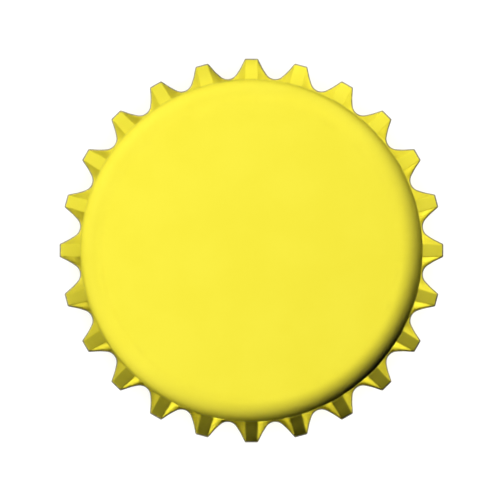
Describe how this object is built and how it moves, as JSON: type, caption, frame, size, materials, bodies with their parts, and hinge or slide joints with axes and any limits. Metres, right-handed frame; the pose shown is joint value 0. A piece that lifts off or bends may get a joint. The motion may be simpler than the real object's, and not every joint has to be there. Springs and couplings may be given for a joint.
{
  "type": "bottle cap",
  "caption": "Bottle cap of the crown cork kind: round yellow enamelled steel top with a rounded shoulder, a flared fluted skirt that crimps onto the lip, and a moulded sealing liner.",
  "frame": {"origin": "centre of the rim, in the plane that the flutes' tips stand on", "axes": "+Z along the cap's axis, out through the middle of the top; +X out through the middle of one flute"},
  "size_m": [0.032, 0.032, 0.006],
  "materials": {
    "enamelled_steel": "gloss",
    "liner_polymer": "satin"
  },
  "bodies": {
    "root": {"crown_shell": "enamelled_steel", "sealing_liner": "liner_polymer"}
  },
  "joints": []
}
